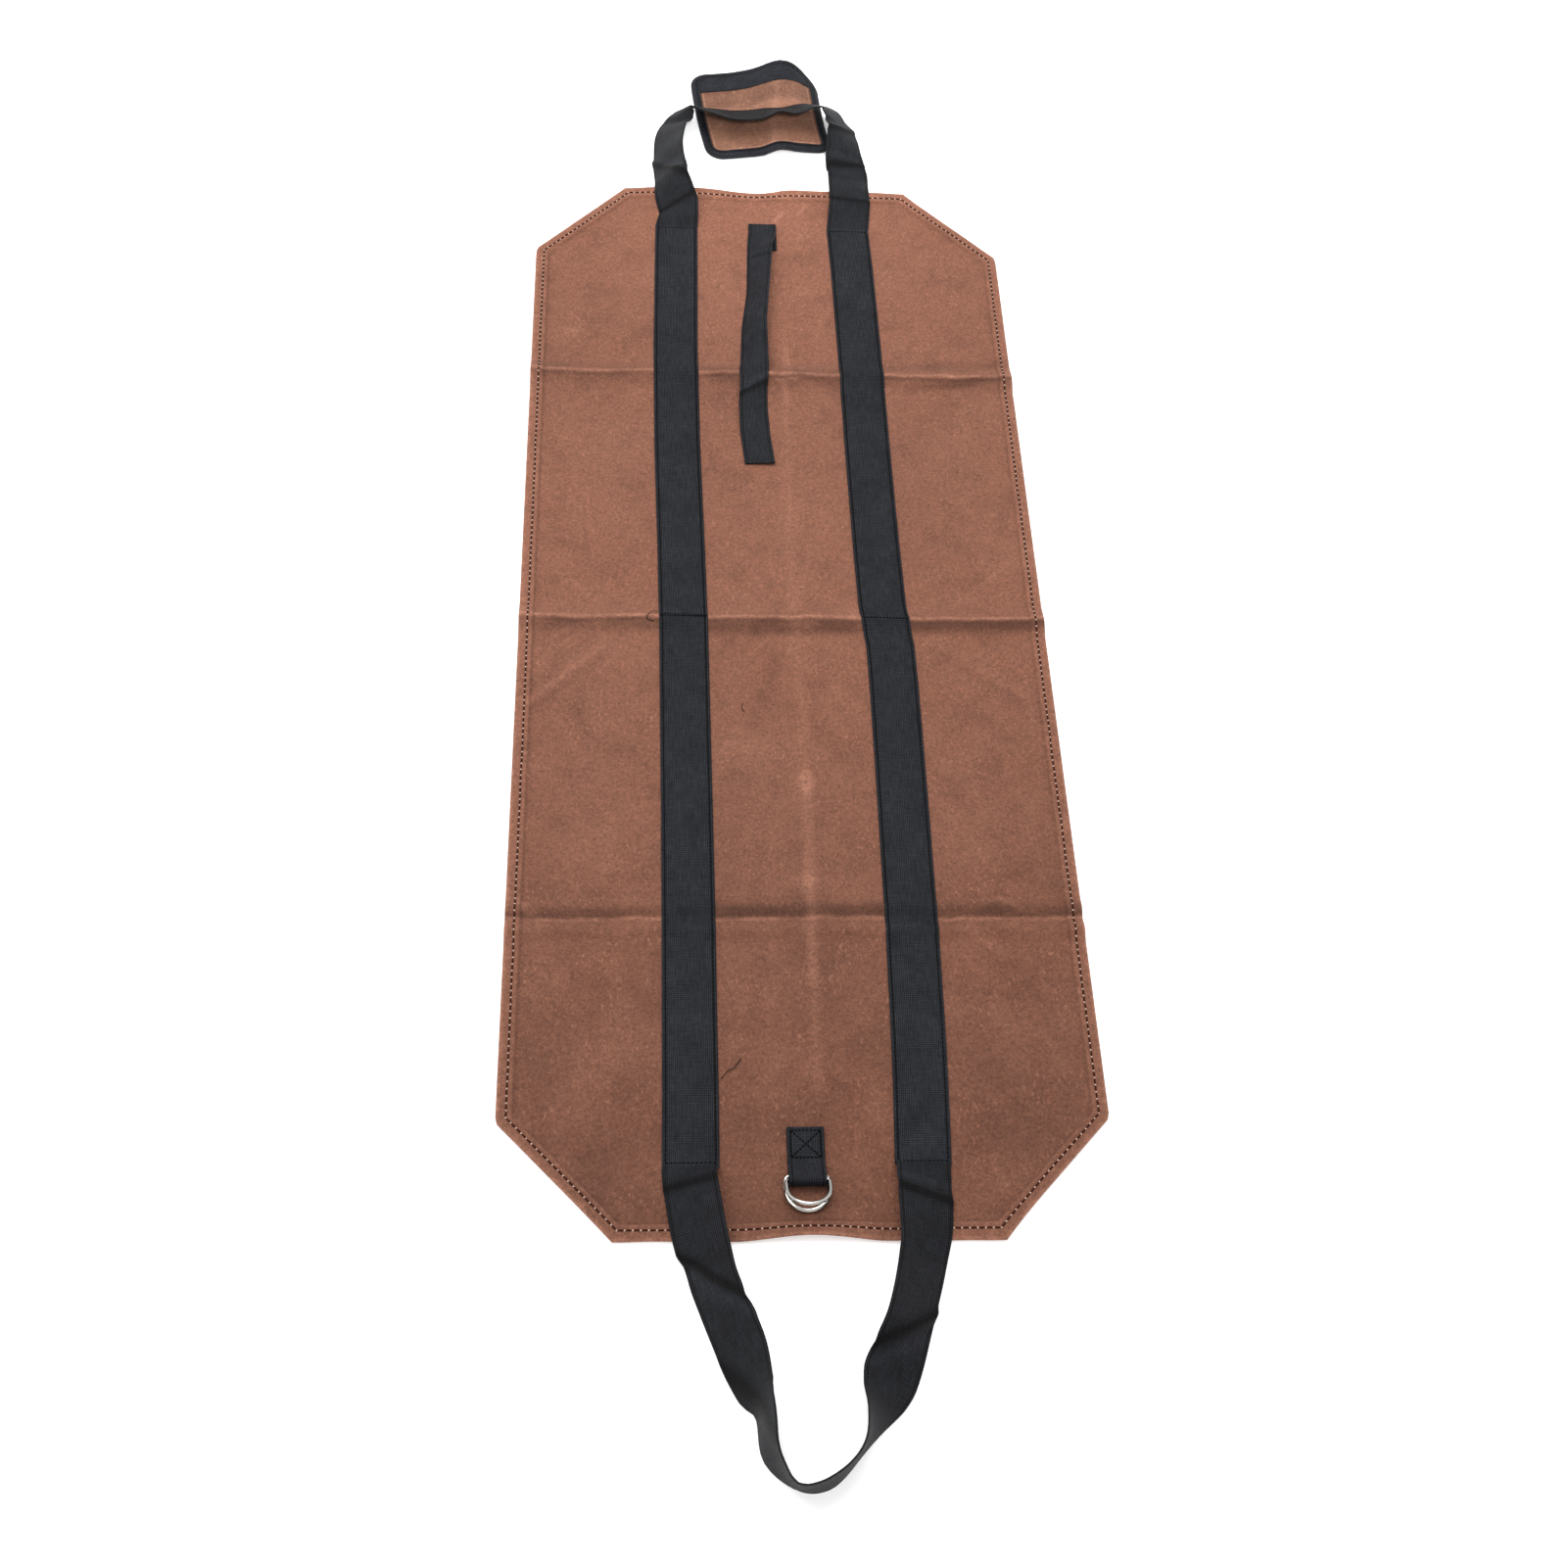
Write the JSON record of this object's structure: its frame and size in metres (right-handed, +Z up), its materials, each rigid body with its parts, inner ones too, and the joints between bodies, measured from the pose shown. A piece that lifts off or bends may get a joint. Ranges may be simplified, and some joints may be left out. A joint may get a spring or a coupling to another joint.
{
  "type": "log carrier",
  "caption": "Waxed canvas log carrier laid open, with sewn webbing straps that form handle loops, a padded grip wrap, a tie strap and a tab with D-rings",
  "frame": {"origin": "middle of the footprint of the laid-out carrier, at floor height", "axes": "+Z up out of the panel's visible face, +Y along the carrier towards the handle with the grip wrap, +X to the right seen from the plain handle"},
  "size_m": [0.412, 1.3244, 0.0387],
  "materials": {
    "canvas": "waxed plain-weave canvas, brown, dull",
    "grip_canvas": "waxed plain-weave canvas, lighter brown, dull",
    "webbing": "ribbed polypropylene webbing, black, matte",
    "binding": "folded woven binding tape, black, slight sheen",
    "closure_tape": "short pile closure tape, black, matte",
    "steel": "nickel-plated steel wire, bright"
  },
  "bodies": {
    "carrier": {"canvas_panel": "canvas", "webbing_belt": "webbing", "grip_wrap": "grip_canvas", "grip_binding": "binding", "grip_tape": "closure_tape", "tie_strap": "webbing", "ring_tab": "webbing"},
    "ring_lower": {"d_ring_lower": "steel"},
    "ring_upper": {"d_ring_upper": "steel"}
  },
  "joints": [
    {"name": "lower_ring_swing", "type": "hinge", "parent": "carrier", "child": "ring_lower", "pos_m": [-0.0008, -0.45865, 0.0051], "axis": [-1, 0, 0], "range_deg": [0, 12]},
    {"name": "upper_ring_swing", "type": "hinge", "parent": "carrier", "child": "ring_upper", "pos_m": [-0.0008, -0.46205, 0.0089], "axis": [-1, 0, 0], "range_deg": [0, 150]}
  ]
}
